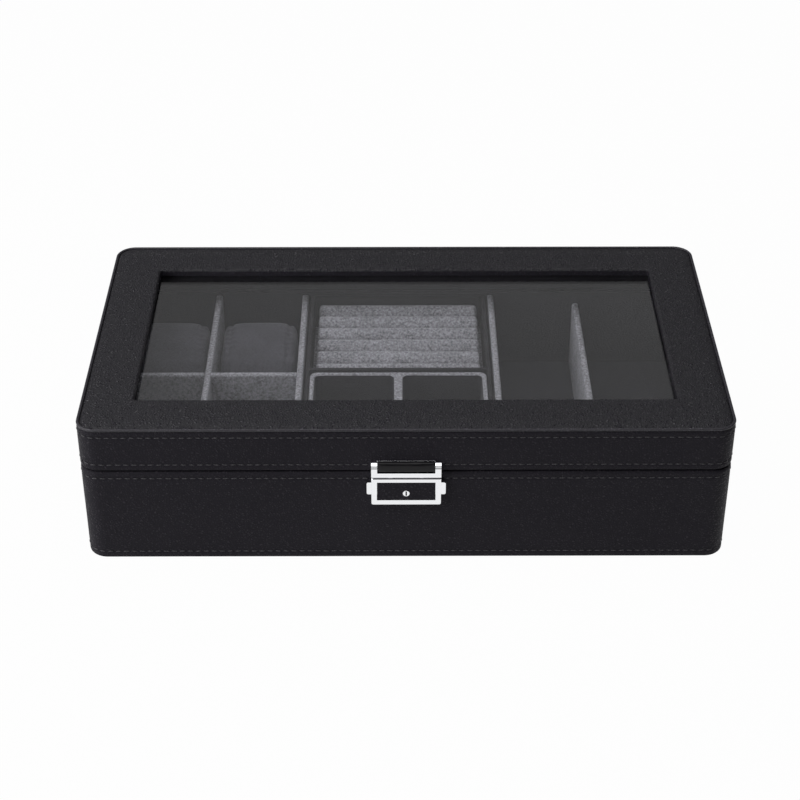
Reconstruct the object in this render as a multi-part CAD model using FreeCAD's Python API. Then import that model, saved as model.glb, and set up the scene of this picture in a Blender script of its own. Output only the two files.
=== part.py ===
import FreeCAD, Part
import os

# Watch box: leather-covered base and glazed lid, velvet fittings and a side-press clasp.
# Millimetres. Origin at the middle of the underside, +Z up, +X to the right, front at -Y.

# Outside of the box
box_width = 335.6
box_depth = 188.6
base_height = 55.9
parting_gap = 0.6
lid_height = 26.0
corner_radius = 10.5
rim_round = 2.0

# Boards, covers and linings
board = 7.0
floor_board = 4.0
leather = 1.0
lining = 1.5
felt = 1.0
felt_clearance = 0.2
wrap_lift = 0.4

# Lid top, window and glass
frame_margin = 27.5
window_round = 1.4
rail_thickness = 3.0
top_pad = 1.6
pad_round = 1.5
piping_diameter = 1.6
piping_drop = 1.2
piping_gap = 0.2
glass_thickness = 2.0
glass_bearing = 6.0
glass_clearance = 0.2
retainer_thickness = 3.0
retainer_reveal = 2.0

# Compartments
divider = 3.6
divider_drop = 2.4
divider_round = 1.2
glasses_divider_drop = 8.4
watch_cell_width = 47.3
centre_bay_width = 105.4
glasses_bay_width = 47.0
lap_clearance = 0.15
seat_clearance = 0.3

# Watch pillows
pillow_end_gap = 9.5
pillow_side_gap = 1.6
pillow_drop = 3.3
pillow_corner = 15.0
pillow_crown = 1.2
pillow_draw = 4.0
pillow_shoulder = 5.0

# Lift-out tray, ring rolls and trinket insert
tray_side_gap = 1.5
tray_end_gap = 1.1
tray_wall = 2.0
tray_floor = 1.5
tray_cross_y = 3.6
roll_count = 6
roll_gap = 0.4
roll_height = 19.0
roll_drop = 1.0
roll_end_round = 1.2
insert_wall = 2.6
insert_middle = 4.7
insert_floor = 2.5
insert_corner = 4.0
insert_rear_gap = 2.2
insert_edge_round = 1.0

# Rear hinges
hinge_offset = 95.0
leaf_width = 32.0
leaf_thickness = 0.9
leaf_margin = 0.1
leaf_corner = 1.5
notch_clearance = 0.3
barrel_radius = 2.0
barrel_clearance = 0.3
pin_radius = 1.0
running_clearance = 0.05
knuckle_length = 9.0
knuckle_gap = 0.25
leaf_screw_spread = 20.0

# Small screws
screw_radius = 0.9
screw_head_radius = 1.5
screw_head = 0.45
screw_length = 7.0
screw_clearance = 0.05

# Clasp: lock on the base and hasp on the lid
lock_width = 35.8
lock_depth = 3.4
lock_drop = 1.9
lock_height = 16.9
lock_side = 2.85
lock_head = 2.5
lock_foot = 3.2
lock_chamfer = 0.5
lock_corner = 0.8
lock_gap = 0.6
back_plate = 0.6
inlay_thickness = 0.5
inlay_recess = 0.3
fit_clearance = 0.1
hasp_height = 8.1
hasp_side = 3.1
hasp_foot = 2.65
hasp_standoff = 0.35
hasp_slope_drop = 0.9
hasp_slope_depth = 1.7
hasp_groove = 0.45
hasp_groove_depth = 0.5
hasp_groove_drop = 0.15
hasp_groove_pitch = 1.2
hasp_groove_count = 2
hasp_plate = 0.9
hasp_plate_rise = 0.65
hasp_plate_foot = 1.2
hasp_pad_proud = 0.1
hasp_pad_round = 1.2
prong_inner = 7.0
prong_width = 2.0
prong_thickness = 0.7
prong_length = 8.5
prong_notch = 0.8
prong_slot_clearance = 0.3
prong_swing = 0.5
clasp_screw_depth = 2.0
hasp_screw_cover = 0.4

# Release buttons, latch sliders, springs and key plug
button_height = 7.5
button_rise = 1.2
button_thickness = 1.7
button_reach = 2.4
button_round = 0.9
button_collar = 1.7
button_lip = 0.4
button_slot_clearance = 0.15
slider_thickness = 1.1
slider_arm = 2.7
slider_arm_rise = 2.4
slider_tip = 5.0
slider_nose_width = 1.6
slider_nose_height = 3.1
spring_strip = 0.25
post_half_width = 0.8
plug_radius = 1.75
plug_rise = 4.1
plug_proud = 0.15
plug_back = 2.0
key_slit_width = 0.7
key_slit_length = 2.6
key_slit_depth = 0.9
cam_half_width = 0.9
cam_length = 3.3
cam_thickness = 0.5

# Levels and faces that follow from the sizes above
half_width = box_width / 2
half_depth = box_depth / 2
board_in_x = half_width - leather - board
board_in_y = half_depth - leather - board
inner_x = board_in_x - lining
inner_y = board_in_y - lining
base_board_top = base_height - leather
floor_board_top = felt + floor_board
floor_top = floor_board_top + lining
lid_bottom = base_height + parting_gap
lid_board_bottom = lid_bottom + leather
lid_top = lid_bottom + lid_height
pad_bottom = lid_top - top_pad
glass_top = pad_bottom - rail_thickness
glass_bottom = glass_top - glass_thickness
retainer_top = glass_bottom - glass_clearance
retainer_bottom = retainer_top - retainer_thickness
window_x = half_width - frame_margin
window_y = half_depth - frame_margin
divider_top = base_height - divider_drop
glasses_divider_top = base_height - glasses_divider_drop
cell_depth = inner_y - divider / 2
pillow_depth = cell_depth - 2 * pillow_end_gap
pillow_bottom = floor_top + seat_clearance
pillow_height = divider_top - pillow_drop - pillow_bottom

# Divider faces, counted from the left wall
watch_divider_x = -inner_x + watch_cell_width
second_cell_x = watch_divider_x + divider
bay_left_x = second_cell_x + watch_cell_width
centre_bay_x = bay_left_x + divider
bay_right_x = centre_bay_x + centre_bay_width
glasses_bay_x = bay_right_x + divider
glasses_divider_x = glasses_bay_x + glasses_bay_width

# Hinge axis
axis_y = half_depth + barrel_radius + barrel_clearance
axis_z = base_height + parting_gap / 2

# Clasp levels
lock_top = base_height - lock_drop
lock_bottom = lock_top - lock_height
lock_window_top = lock_top - lock_head
lock_window_bottom = lock_bottom + lock_foot
lock_window_x = lock_width / 2 - lock_side
hasp_bottom = lock_top + lock_gap
hasp_top = hasp_bottom + hasp_height
hasp_x = lock_width / 2
hasp_inner_x = hasp_x - hasp_side
prong_back = lock_depth - inlay_recess - inlay_thickness - prong_swing - prong_thickness - fit_clearance
prong_bottom = hasp_bottom - prong_length
button_z = (lock_window_top + lock_window_bottom) / 2 + button_rise
slider_end = lock_window_x - seat_clearance - button_collar
slider_back = back_plate + button_slot_clearance
button_back = slider_back
slider_arm_z = lock_window_bottom + slider_arm_rise
plug_z = lock_window_bottom + plug_rise
tolerance = 0.01

Vector = FreeCAD.Vector


def block(x0, x1, y0, y1, z0, z1):
    return Part.makeBox(x1 - x0, y1 - y0, z1 - z0, Vector(x0, y0, z0))


def centred_block(half_x, half_y, z0, z1):
    return block(-half_x, half_x, -half_y, half_y, z0, z1)


def flat_edges(shape, *axes):
    """The edges that have no length along the named axes."""
    return [
        edge
        for edge in shape.Edges
        if all(getattr(edge.BoundBox, axis + "Length") < tolerance for axis in axes)
    ]


def level_edges(shape, z):
    return [edge for edge in flat_edges(shape, "Z") if abs(edge.BoundBox.ZMin - z) < tolerance]


def held_to(radius, wall):
    """A rounding radius, kept just under the wall that it rounds."""
    return min(radius, wall - tolerance)


def rounded_block(x0, x1, y0, y1, z0, z1, radius):
    plain = block(x0, x1, y0, y1, z0, z1)
    return plain.makeFillet(radius, flat_edges(plain, "X", "Y"))


def outline_block(inset, z0, z1):
    """The box's rounded outline, drawn in by an inset, between two heights."""
    half_x = half_width - inset
    half_y = half_depth - inset
    return rounded_block(-half_x, half_x, -half_y, half_y, z0, z1, corner_radius - inset)


def front_block(x0, x1, z0, z1, out0, out1):
    """A block in front of the leather face, from one distance out to another."""
    return block(x0, x1, -half_depth - out1, -half_depth - out0, z0, z1)


def front_cylinder(x, z, radius, out0, out1):
    return Part.makeCylinder(radius, out1 - out0, Vector(x, -half_depth - out0, z), Vector(0, -1, 0))


def upright_cylinder(x, y, radius, z0, z1):
    return Part.makeCylinder(radius, z1 - z0, Vector(x, y, z0))


def cross_cylinder(x0, x1, radius):
    """A cylinder on the hinge axis."""
    return Part.makeCylinder(radius, x1 - x0, Vector(x0, axis_y, axis_z), Vector(1, 0, 0))


def mirrored(shape):
    return shape.mirror(Vector(0, 0, 0), Vector(1, 0, 0))


def cut_all(shape, tools):
    for tool in tools:
        shape = shape.cut(tool)
    return shape


def save(name, *solids):
    shape = solids[0] if len(solids) == 1 else Part.makeCompound(list(solids))
    shape.exportStep("parts/" + name + ".step")


def four_sides(ring, split_x, split_y):
    """Cuts a ring into front and rear pieces of full width and side pieces between them."""
    reach_x = box_width
    reach_y = box_depth
    reach_z = base_height + lid_height
    front = ring.common(block(-reach_x, reach_x, -reach_y, -split_y, -reach_z, 2 * reach_z))
    rear = ring.common(block(-reach_x, reach_x, split_y, reach_y, -reach_z, 2 * reach_z))
    left = ring.common(block(-reach_x, -split_x, -split_y, split_y, -reach_z, 2 * reach_z))
    right = ring.common(block(split_x, reach_x, -split_y, split_y, -reach_z, 2 * reach_z))
    return front, rear, left, right


# Screws of the hinges and the clasp


def leaf_screw_places():
    leaf_inner = board_in_y + leaf_margin
    y = (leaf_inner + half_depth) / 2
    spread = leaf_screw_spread / 2
    return [(side * hinge_offset + along, y) for side in (-1, 1) for along in (-spread, spread)]


def lock_screw_places():
    x = lock_width / 2 - lock_side / 2
    low = lock_bottom + lock_foot / 2
    high = lock_top - lock_head / 2
    return [(-x, low), (x, low), (-x, high), (x, high)]


def hasp_screw_places():
    x = hasp_x - hasp_side / 2
    z = hasp_top - hasp_screw_cover - screw_radius
    return [(-x, z), (x, z)]


def leaf_screw(x, y, board_face, up):
    """A screw sunk flush in a hinge leaf, with up = 1 for the base and -1 for the lid."""
    top = board_face + up * leaf_thickness
    neck = top - up * screw_head
    tip = board_face - up * screw_length
    head = upright_cylinder(x, y, screw_head_radius, min(top, neck), max(top, neck))
    shank = upright_cylinder(x, y, screw_radius, min(tip, neck), max(tip, neck))
    return head.fuse(shank).removeSplitter()


def leaf_screw_bore(x, y, board_face, up):
    tip = board_face - up * (screw_length + screw_clearance)
    top = board_face + up * leaf_thickness
    return upright_cylinder(x, y, screw_radius + screw_clearance, min(tip, top), max(tip, top))


def clasp_screw(x, z):
    """A screw from inside the front board into the back of the clasp."""
    inside = -(half_depth - board_in_y)
    shank = front_cylinder(x, z, screw_radius, inside + screw_head, clasp_screw_depth)
    head = front_cylinder(x, z, screw_head_radius, inside, inside + screw_head)
    return head.fuse(shank).removeSplitter()


def clasp_screw_bore(x, z):
    inside = -(half_depth - board_in_y)
    neck = inside + screw_head + screw_clearance
    tip = clasp_screw_depth + screw_clearance
    shank = front_cylinder(x, z, screw_radius + screw_clearance, inside, tip)
    head = front_cylinder(x, z, screw_head_radius + screw_clearance, inside, neck)
    return head.fuse(shank)


# Base: boards, covers and linings


def base_board_block(z0):
    plain = outline_block(leather, z0, base_board_top)
    return plain.makeFillet(rim_round - leather, level_edges(plain, base_board_top))


def build_base_boards():
    ring = base_board_block(felt).cut(centred_block(board_in_x, board_in_y, 0, base_height))
    front, rear, left, right = four_sides(ring, board_in_x, board_in_y)
    front = cut_all(front, [clasp_screw_bore(x, z) for x, z in lock_screw_places()])
    rear = cut_all(rear, [leaf_screw_bore(x, y, base_board_top, 1) for x, y in leaf_screw_places()])
    save("base_front_board", front)
    save("base_rear_board", rear)
    save("base_left_board", left)
    save("base_right_board", right)
    save("base_floor_board", centred_block(board_in_x, board_in_y, felt, floor_board_top))


def hinge_notch(side, z0, z1):
    half_leaf = leaf_width / 2 + notch_clearance
    x = side * hinge_offset
    return block(x - half_leaf, x + half_leaf, board_in_y, axis_y, z0, z1)


def build_base_leather():
    skin = outline_block(0, wrap_lift, base_height)
    skin = skin.makeFillet(rim_round, level_edges(skin, base_height))
    skin = skin.cut(base_board_block(-felt))
    skin = skin.cut(centred_block(board_in_x, board_in_y, 0, base_height + leather))
    notches = [hinge_notch(side, base_board_top, base_height + leather) for side in (-1, 1)]
    bores = [clasp_screw_bore(x, z) for x, z in lock_screw_places()]
    save("base_leather_wrap", cut_all(skin, notches + bores))


def build_base_linings():
    save("bottom_felt", outline_block(leather + felt_clearance, 0, felt))
    outer = centred_block(board_in_x, board_in_y, floor_board_top, base_board_top)
    ring = outer.cut(centred_block(inner_x, inner_y, 0, base_height))
    save("base_wall_lining", *four_sides(ring, inner_x, inner_y))
    save("base_floor_lining", centred_block(inner_x, inner_y, floor_board_top, floor_top))


# Dividers


def divider_board(x0, x1, y0, y1, top):
    plain = block(x0, x1, y0, y1, floor_top, top)
    along = max(x1 - x0, y1 - y0)
    ridges = [edge for edge in level_edges(plain, top) if abs(edge.Length - along) < tolerance]
    return plain.makeFillet(divider_round, ridges)


def build_dividers():
    lap_z = (floor_top + divider_top) / 2
    half_lap = divider / 2 + lap_clearance
    crossing_x = watch_divider_x + divider / 2
    long_board = divider_board(watch_divider_x, second_cell_x, -inner_y, inner_y, divider_top)
    long_slot = block(watch_divider_x, second_cell_x, -half_lap, half_lap, floor_top, lap_z + lap_clearance)
    cross_board = divider_board(-inner_x, bay_left_x, -divider / 2, divider / 2, divider_top)
    cross_slot = block(crossing_x - half_lap, crossing_x + half_lap, -divider, divider, lap_z, divider_top)
    save("watch_long_divider", long_board.cut(long_slot))
    save("watch_cross_divider", cross_board.cut(cross_slot))
    for name, x, top in (
        ("bay_divider_left", bay_left_x, divider_top),
        ("bay_divider_right", bay_right_x, divider_top),
        ("glasses_divider", glasses_divider_x, glasses_divider_top),
    ):
        save(name, divider_board(x, x + divider, -inner_y, inner_y, top))


# Watch pillows


def pillow_section(x, y, z, half_y, half_z, corner, crown):
    """A rounded section across a pillow, its four sides bowed out by the crown."""
    side_y = half_y - corner
    side_z = half_z - corner
    diagonal = corner * 0.5 ** 0.5
    outline = []
    for turn_y, turn_z in ((1, 1), (-1, 1), (-1, -1), (1, -1)):
        flank = Vector(x, y + turn_y * half_y, z + turn_z * side_z)
        bend = Vector(x, y + turn_y * (side_y + diagonal), z + turn_z * (side_z + diagonal))
        cap = Vector(x, y + turn_y * side_y, z + turn_z * half_z)
        outline.append((flank, bend, cap) if turn_y * turn_z > 0 else (cap, bend, flank))
    bows = (
        Vector(x, y, z + half_z + crown),
        Vector(x, y - half_y - crown, z),
        Vector(x, y, z - half_z),
        Vector(x, y + half_y + crown, z),
    )
    edges = []
    for index, (start, middle, end) in enumerate(outline):
        following = outline[(index + 1) % len(outline)][0]
        edges.append(Part.Arc(start, middle, end).toShape())
        bow = bows[index]
        flat = bow.z < z - half_z + tolerance
        side = Part.LineSegment(end, following) if flat else Part.Arc(end, bow, following)
        edges.append(side.toShape())
    return Part.Wire(edges)


def pillow(x, y):
    half_length = watch_cell_width / 2 - pillow_side_gap
    half_y = pillow_depth / 2 - pillow_crown
    half_z = (pillow_height - pillow_crown) / 2
    sections = []
    for along, draw in (
        (-half_length, 1.0),
        (pillow_shoulder - half_length, 0.3),
        (0.0, 0.0),
        (half_length - pillow_shoulder, 0.3),
        (half_length, 1.0),
    ):
        inset = draw * pillow_draw
        height = half_z - inset / 2
        middle = pillow_bottom + height + inset / 2
        corner = pillow_corner - inset / 2
        sections.append(pillow_section(x + along, y, middle, half_y - inset, height, corner, pillow_crown))
    return Part.makeLoft(sections, True, False)


def build_pillows():
    columns = (("left", -inner_x), ("right", second_cell_x))
    rows = (("front", -1), ("rear", 1))
    row_y = divider / 2 + cell_depth / 2
    for row, side in rows:
        for column, x in columns:
            save("watch_pillow_" + row + "_" + column, pillow(x + watch_cell_width / 2, side * row_y))


# Lift-out tray


tray_x0 = centre_bay_x + tray_side_gap
tray_x1 = bay_right_x - tray_side_gap
tray_y1 = inner_y - tray_end_gap
tray_z0 = floor_top + seat_clearance
tray_deck = tray_z0 + tray_floor
cell_x0 = tray_x0 + tray_wall
cell_x1 = tray_x1 - tray_wall
cell_y1 = tray_y1 - tray_wall
ring_cell_y0 = tray_cross_y + tray_wall
roll_top = divider_top - roll_drop
roll_bottom = roll_top - roll_height


def build_tray():
    save("tray_floor", block(tray_x0, tray_x1, -tray_y1, tray_y1, tray_z0, tray_deck))
    frame = block(tray_x0, tray_x1, -tray_y1, tray_y1, tray_deck, divider_top)
    frame = frame.cut(block(cell_x0, cell_x1, ring_cell_y0, cell_y1, tray_deck, divider_top))
    frame = frame.cut(block(cell_x0, cell_x1, -cell_y1, tray_cross_y, tray_deck, divider_top))
    save("tray_frame", frame)
    x0 = cell_x0 + seat_clearance
    x1 = cell_x1 - seat_clearance
    y0 = ring_cell_y0 + seat_clearance
    y1 = cell_y1 - seat_clearance
    save("ring_platform", block(x0, x1, y0, y1, tray_deck, roll_bottom))


def ring_roll(y, half_roll):
    """A stuffed roll: flat foot, straight flanks and a round crown, with soft ends."""
    x = cell_x0 + seat_clearance
    length = cell_x1 - seat_clearance - x
    spring_z = roll_top - half_roll
    diagonal = half_roll * 0.5 ** 0.5
    foot_left = Vector(x, y - half_roll, roll_bottom)
    foot_right = Vector(x, y + half_roll, roll_bottom)
    left = Vector(x, y - half_roll, spring_z)
    right = Vector(x, y + half_roll, spring_z)
    crown = Vector(x, y, roll_top)
    left_bend = Vector(x, y - diagonal, spring_z + diagonal)
    right_bend = Vector(x, y + diagonal, spring_z + diagonal)
    outline = Part.Wire([
        Part.LineSegment(foot_left, foot_right).toShape(),
        Part.LineSegment(foot_right, right).toShape(),
        Part.Arc(right, right_bend, crown).toShape(),
        Part.Arc(crown, left_bend, left).toShape(),
        Part.LineSegment(left, foot_left).toShape(),
    ])
    roll = Part.Face(outline).extrude(Vector(length, 0, 0))
    ends = [
        edge
        for edge in roll.Edges
        if edge.BoundBox.XLength < tolerance and edge.BoundBox.ZMax > spring_z - tolerance
    ]
    return roll.makeFillet(roll_end_round, ends)


def build_ring_rolls():
    first = ring_cell_y0 + seat_clearance
    pitch = (cell_y1 - seat_clearance - first) / roll_count
    half_roll = (pitch - roll_gap) / 2
    rolls = [ring_roll(first + pitch * (index + 0.5), half_roll) for index in range(roll_count)]
    save("ring_rolls", *rolls)


def build_trinket_insert():
    x0 = cell_x0 + seat_clearance
    x1 = cell_x1 - seat_clearance
    y0 = -cell_y1 + seat_clearance
    y1 = tray_cross_y - insert_rear_gap
    middle = (x0 + x1) / 2
    pocket_z = tray_deck + insert_floor
    pocket_radius = insert_corner - insert_edge_round
    insert = rounded_block(x0, x1, y0, y1, tray_deck, divider_top, insert_corner)
    for pocket_x0, pocket_x1 in (
        (x0 + insert_wall, middle - insert_middle / 2),
        (middle + insert_middle / 2, x1 - insert_wall),
    ):
        pocket = rounded_block(
            pocket_x0, pocket_x1, y0 + insert_wall, y1 - insert_wall, pocket_z, divider_top, pocket_radius
        )
        insert = insert.cut(pocket)
    save("trinket_insert", insert.makeFillet(insert_edge_round, level_edges(insert, divider_top)))


# Lid: boards, rails, covers, glass and linings


def lid_board_block(z1):
    plain = outline_block(leather, lid_board_bottom, z1)
    return plain.makeFillet(rim_round - leather, level_edges(plain, lid_board_bottom))


def build_lid_boards():
    ring = lid_board_block(glass_top).cut(centred_block(board_in_x, board_in_y, 0, lid_top))
    front, rear, left, right = four_sides(ring, board_in_x, board_in_y)
    front = cut_all(front, [clasp_screw_bore(x, z) for x, z in hasp_screw_places()])
    rear = cut_all(rear, [leaf_screw_bore(x, y, lid_board_bottom, -1) for x, y in leaf_screw_places()])
    save("lid_front_board", front)
    save("lid_rear_board", rear)
    save("lid_left_board", left)
    save("lid_right_board", right)


def build_lid_rails():
    rail_inset = piping_diameter + 2 * piping_gap
    opening_x = window_x + leather
    opening_y = window_y + leather
    ring = outline_block(rail_inset, glass_top, pad_bottom)
    ring = ring.cut(centred_block(opening_x, opening_y, 0, lid_top))
    for name, rail in zip(("front", "rear", "left", "right"), four_sides(ring, opening_x, opening_y)):
        save("lid_" + name + "_rail", rail)


piping_z = lid_top - piping_drop
side_leather_top = piping_z - piping_diameter / 2


def build_lid_side_leather():
    skin = outline_block(0, lid_bottom, side_leather_top)
    skin = skin.makeFillet(rim_round, level_edges(skin, lid_bottom))
    skin = skin.cut(lid_board_block(lid_top))
    skin = skin.cut(centred_block(board_in_x, board_in_y, 0, lid_top))
    notches = [hinge_notch(side, lid_bottom - leather, lid_board_bottom) for side in (-1, 1)]
    bores = [clasp_screw_bore(x, z) for x, z in hasp_screw_places()]
    save("lid_side_leather", cut_all(skin, notches + bores))


def build_lid_top_leather():
    pad = outline_block(piping_diameter + piping_gap, pad_bottom, lid_top)
    pad = pad.makeFillet(held_to(pad_round, top_pad), level_edges(pad, lid_top))
    collar = centred_block(window_x + leather, window_y + leather, glass_top + glass_clearance, pad_bottom)
    window = centred_block(window_x, window_y, 0, 2 * lid_top)
    cover = pad.fuse(collar).cut(window).removeSplitter()
    within_x = window_x + tolerance
    within_y = window_y + tolerance
    lips = [
        edge
        for edge in level_edges(cover, lid_top)
        if abs(edge.BoundBox.Center.x) < within_x and abs(edge.BoundBox.Center.y) < within_y
    ]
    save("lid_top_leather", cover.makeFillet(held_to(window_round, top_pad), lips))


def build_lid_piping():
    radius = piping_diameter / 2
    bend = corner_radius - radius
    run_x = half_width - corner_radius
    run_y = half_depth - corner_radius
    reach_x = half_width - radius
    reach_y = half_depth - radius
    runs = []
    for side in (-1, 1):
        long_start = Vector(-run_x, side * reach_y, piping_z)
        short_start = Vector(side * reach_x, -run_y, piping_z)
        runs.append(Part.makeCylinder(radius, 2 * run_x, long_start, Vector(1, 0, 0)))
        runs.append(Part.makeCylinder(radius, 2 * run_y, short_start, Vector(0, 1, 0)))
    cord = runs[0].multiFuse(runs[1:])
    corners = ((run_x, run_y), (-run_x, run_y), (-run_x, -run_y), (run_x, -run_y))
    for quarter, (x, y) in enumerate(corners):
        elbow = Part.makeTorus(bend, radius, Vector(0, 0, 0), Vector(0, 0, 1), -180, 180, 90)
        elbow.rotate(Vector(0, 0, 0), Vector(0, 0, 1), 90 * quarter)
        elbow.translate(Vector(x, y, piping_z))
        cord = cord.fuse(elbow)
    save("lid_piping", cord)


def build_glass():
    pane_x = window_x + glass_bearing
    pane_y = window_y + glass_bearing
    save("glass_pane", centred_block(pane_x, pane_y, glass_bottom, glass_top))
    reveal_x = window_x + retainer_reveal
    reveal_y = window_y + retainer_reveal
    ring = centred_block(board_in_x, board_in_y, retainer_bottom, glass_top)
    ring = ring.cut(centred_block(reveal_x, reveal_y, 0, lid_top))
    rabbet = centred_block(pane_x + glass_clearance, pane_y + glass_clearance, retainer_top, lid_top)
    save("glass_retainer", *[strip.cut(rabbet) for strip in four_sides(ring, reveal_x, reveal_y)])


def build_lid_lining():
    outer = centred_block(board_in_x, board_in_y, lid_board_bottom, retainer_bottom)
    ring = outer.cut(centred_block(inner_x, inner_y, 0, lid_top))
    save("lid_wall_lining", *four_sides(ring, inner_x, inner_y))


# Rear hinges


def hinge_leaf(side, board_face, up, knuckles):
    """A leaf let into the rim, with its knuckles rolled round the pin."""
    x = side * hinge_offset
    z0 = min(board_face, board_face + up * leaf_thickness)
    z1 = z0 + leaf_thickness
    y0 = board_in_y + leaf_margin
    plate = block(x - leaf_width / 2, x + leaf_width / 2, y0, half_depth, z0, z1)
    corners = [edge for edge in flat_edges(plate, "X", "Y") if edge.BoundBox.YMax < y0 + tolerance]
    leaf = plate.makeFillet(leaf_corner, corners)
    for start, end in knuckles:
        leaf = leaf.fuse(block(x + start, x + end, half_depth, axis_y, z0, z1))
        leaf = leaf.fuse(cross_cylinder(x + start, x + end, barrel_radius))
    leaf = leaf.cut(cross_cylinder(x - leaf_width, x + leaf_width, pin_radius + running_clearance))
    for screw_x, screw_y in leaf_screw_places():
        sunk = board_face + up * (leaf_thickness - screw_head)
        over = board_face + 2 * up * leaf_thickness
        radius = screw_head_radius + screw_clearance
        leaf = leaf.cut(leaf_screw_bore(screw_x, screw_y, board_face, up))
        leaf = leaf.cut(upright_cylinder(screw_x, screw_y, radius, min(sunk, over), max(sunk, over)))
    return leaf.removeSplitter()


def build_hinges():
    half_leaf = leaf_width / 2
    inner_end = half_leaf - knuckle_length
    outer_knuckles = ((-half_leaf, -inner_end), (inner_end, half_leaf))
    middle_knuckle = ((knuckle_gap - inner_end, inner_end - knuckle_gap),)
    for side, name in ((-1, "left"), (1, "right")):
        save("hinge_base_leaf_" + name, hinge_leaf(side, base_board_top, 1, outer_knuckles))
        save("hinge_lid_leaf_" + name, hinge_leaf(side, lid_board_bottom, -1, middle_knuckle))
    centres = (-hinge_offset, hinge_offset)
    save("hinge_pins", *[cross_cylinder(x - half_leaf, x + half_leaf, pin_radius) for x in centres])
    save("hinge_base_screws", *[leaf_screw(x, y, base_board_top, 1) for x, y in leaf_screw_places()])
    save("hinge_lid_screws", *[leaf_screw(x, y, lid_board_bottom, -1) for x, y in leaf_screw_places()])


# Clasp: lock on the base


def button_tools(clearance):
    """The bar of the right-hand button, grown all round by a clearance, for the bar and its slot."""
    low = button_z - button_height / 2 - clearance
    high = button_z + button_height / 2 + clearance
    end = lock_width / 2 + button_reach
    back = button_back - clearance
    return front_block(slider_end, end, low, high, back, button_back + button_thickness + clearance)


def prong_slot(side):
    low_x = prong_inner - prong_slot_clearance
    high_x = prong_inner + prong_width + prong_slot_clearance
    back = prong_back - prong_slot_clearance
    front = prong_back + prong_thickness + prong_swing
    slot = front_block(low_x, high_x, lock_window_top - tolerance, lock_top, back, front)
    return slot if side > 0 else mirrored(slot)


def front_rim(shape, out):
    """The edges that lie in one plane in front of the box."""
    y = -half_depth - out
    return [edge for edge in flat_edges(shape, "Y") if abs(edge.BoundBox.YMin - y) < tolerance]


def build_lock():
    half = lock_width / 2
    frame = front_block(-half, half, lock_bottom, lock_top, 0, lock_depth)
    frame = frame.makeFillet(lock_corner, flat_edges(frame, "X", "Z"))
    frame = frame.makeChamfer(lock_chamfer, front_rim(frame, lock_depth))
    window = front_block(-lock_window_x, lock_window_x, lock_window_bottom, lock_window_top, 0, lock_depth)
    slot = button_tools(button_slot_clearance)
    tools = [window, slot, mirrored(slot), prong_slot(1), prong_slot(-1)]
    tools += [clasp_screw_bore(x, z) for x, z in lock_screw_places()]
    save("lock_frame", cut_all(frame, tools))

    plate_x = lock_window_x - fit_clearance
    plate_low = lock_window_bottom + fit_clearance
    plate_high = lock_window_top - fit_clearance
    plate = front_block(-plate_x, plate_x, plate_low, plate_high, 0, back_plate)
    post_top = slider_arm_z + slider_arm
    post_front = slider_back + slider_thickness
    post = front_block(-post_half_width, post_half_width, slider_arm_z, post_top, back_plate, post_front)
    save("lock_back_plate", plate.fuse(post).removeSplitter())

    face = lock_depth - inlay_recess
    inlay = front_block(-plate_x, plate_x, plate_low, plate_high, face - inlay_thickness, face)
    save("lock_inlay", inlay.cut(front_cylinder(0, plug_z, plug_radius + running_clearance, 0, lock_depth)))
    save("lock_screws", *[clasp_screw(x, z) for x, z in lock_screw_places()])


def build_release_buttons():
    bar = button_tools(0)
    end = lock_width / 2 + button_reach
    tip = [edge for edge in flat_edges(bar, "X", "Z") if edge.BoundBox.XMax > end - tolerance]
    bar = bar.makeFillet(button_round, tip)
    low = button_z - button_height / 2 - button_lip
    high = button_z + button_height / 2 + button_lip
    collar = front_block(
        slider_end, slider_end + button_collar, low, high, button_back, button_back + button_thickness
    )
    button = bar.fuse(collar).removeSplitter()
    save("release_button_right", button)
    save("release_button_left", mirrored(button))

    back = slider_back
    front = slider_back + slider_thickness
    arm_top = slider_arm_z + slider_arm
    arm = front_block(slider_tip, slider_end, slider_arm_z, arm_top, back, front)
    nose = front_block(
        slider_tip, slider_tip + slider_nose_width, slider_arm_z, arm_top + slider_nose_height, back, front
    )
    slider = arm.fuse(nose).removeSplitter()
    save("latch_slider_right", slider)
    save("latch_slider_left", mirrored(slider))

    room = slider_tip - post_half_width - 2 * fit_clearance
    middle_x = post_half_width + fit_clearance + room / 2
    foot_z = slider_arm_z + fit_clearance
    outer = front_cylinder(middle_x, foot_z, room / 2, back + fit_clearance, front - fit_clearance)
    hollow = front_cylinder(middle_x, foot_z, room / 2 - spring_strip, 0, lock_depth)
    upper = front_block(0, lock_width, foot_z, lock_top, 0, lock_depth)
    spring = outer.cut(hollow).common(upper)
    save("button_spring_right", spring)
    save("button_spring_left", mirrored(spring))


def build_key_plug():
    face = lock_depth - inlay_recess + plug_proud
    plug = front_cylinder(0, plug_z, plug_radius, plug_back, face)
    cam = front_block(
        -cam_half_width, cam_half_width, plug_z - cam_length, plug_z, plug_back, plug_back + cam_thickness
    )
    slit = front_block(
        -key_slit_width / 2,
        key_slit_width / 2,
        plug_z - key_slit_length / 2,
        plug_z + key_slit_length / 2,
        face - key_slit_depth,
        face,
    )
    save("lock_plug", plug.fuse(cam).cut(slit).removeSplitter())


# Clasp: hasp on the lid


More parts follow.
